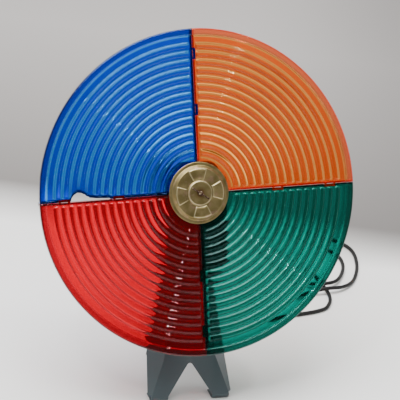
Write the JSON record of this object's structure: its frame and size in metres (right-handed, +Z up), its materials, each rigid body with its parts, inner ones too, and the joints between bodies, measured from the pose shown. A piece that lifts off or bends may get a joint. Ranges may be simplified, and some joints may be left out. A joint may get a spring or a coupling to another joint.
{
  "type": "motorised colour wheel",
  "caption": "Colour wheel of ribbed translucent quarter panels on a gold hub, turned by a geared motor on a leaning sheet-steel stand with a mains cord.",
  "frame": {"origin": "on the floor, straight below the centre of the wheel", "axes": "+Z up, -Y towards the front of the wheel, +X to the right as seen from the front"},
  "size_m": [0.5421, 0.4121, 0.4453],
  "materials": {
    "stand_paint": "semi-gloss grey-green enamel",
    "rivet_steel": "dull steel",
    "zinc": "bright zinc plate",
    "plate_steel": "plain rolled steel",
    "brass": "cut brass",
    "bronze": "sintered bronze",
    "stack_iron": "varnished laminations",
    "bobbin_plastic": "moulded nylon",
    "winding_wire": "taped enamelled wire",
    "rotor_metal": "turned",
    "shaft_steel": "ground steel",
    "gold_plate": "gold-tinted plating, a little tarnished",
    "pin_steel": "tarnished steel",
    "orange_plastic": "clear tinted styrene",
    "blue_plastic": "clear tinted styrene",
    "red_plastic": "clear tinted styrene",
    "green_plastic": "clear tinted styrene",
    "wire_cover": "vinyl",
    "cord_vinyl": "satin vinyl",
    "tie_paper": "paper-covered wire",
    "blade_brass": "plated brass"
  },
  "bodies": {
    "stand": {"stand_plate": "stand_paint", "rear_leg": "stand_paint", "motor_cover": "stand_paint", "leg_rivets": "rivet_steel", "cover_screws": "zinc", "cover_nuts": "zinc", "frame_screws": "zinc", "motor_screws": "zinc", "stator_screws": "zinc", "front_gear_plate": "plate_steel", "rear_gear_plate": "plate_steel", "bearing_strap": "plate_steel", "gear_pillars": "brass", "motor_standoffs": "brass", "front_bush": "bronze", "rear_bush": "bronze", "stator_core": "stack_iron", "bobbin": "bobbin_plastic", "winding": "winding_wire", "lead_wires": "wire_cover", "strain_relief": "cord_vinyl", "cord_lead": "cord_vinyl", "cord_coil": "cord_vinyl", "plug_body": "cord_vinyl", "cord_tie": "tie_paper", "plug_blades": "blade_brass"},
    "wheel": {"output_gear": "brass", "output_shaft": "shaft_steel", "rear_disc": "zinc", "hub_sleeve": "bronze", "front_cap": "gold_plate", "drive_pin": "pin_steel", "orange_panel": "orange_plastic", "blue_panel": "blue_plastic", "red_panel": "red_plastic", "green_panel": "green_plastic"},
    "second_stage": {"second_gear": "brass"},
    "first_stage": {"first_gear": "brass"},
    "rotor": {"rotor_core": "rotor_metal", "rotor_shaft": "shaft_steel"}
  },
  "joints": [
    {"name": "wheel_spin", "type": "hinge", "parent": "stand", "child": "wheel", "pos_m": [0, 0, 0.26], "axis": [0, -0.9063, 0.4226], "continuous": true},
    {"name": "second_spin", "type": "hinge", "parent": "stand", "child": "second_stage", "pos_m": [0.01543, -0.00777, 0.24334], "axis": [0, -0.9063, 0.4226], "continuous": true},
    {"name": "first_spin", "type": "hinge", "parent": "stand", "child": "first_stage", "pos_m": [0.00314, -0.01141, 0.23554], "axis": [0, -0.9063, 0.4226], "continuous": true},
    {"name": "rotor_spin", "type": "hinge", "parent": "stand", "child": "rotor", "pos_m": [0.00002, -0.01761, 0.22224], "axis": [0, -0.9063, 0.4226], "continuous": true}
  ],
  "couplings": [
    {"joint": "second_spin", "follows": "wheel_spin", "ratio": -4},
    {"joint": "first_spin", "follows": "wheel_spin", "ratio": 16},
    {"joint": "rotor_spin", "follows": "wheel_spin", "ratio": -80}
  ]
}
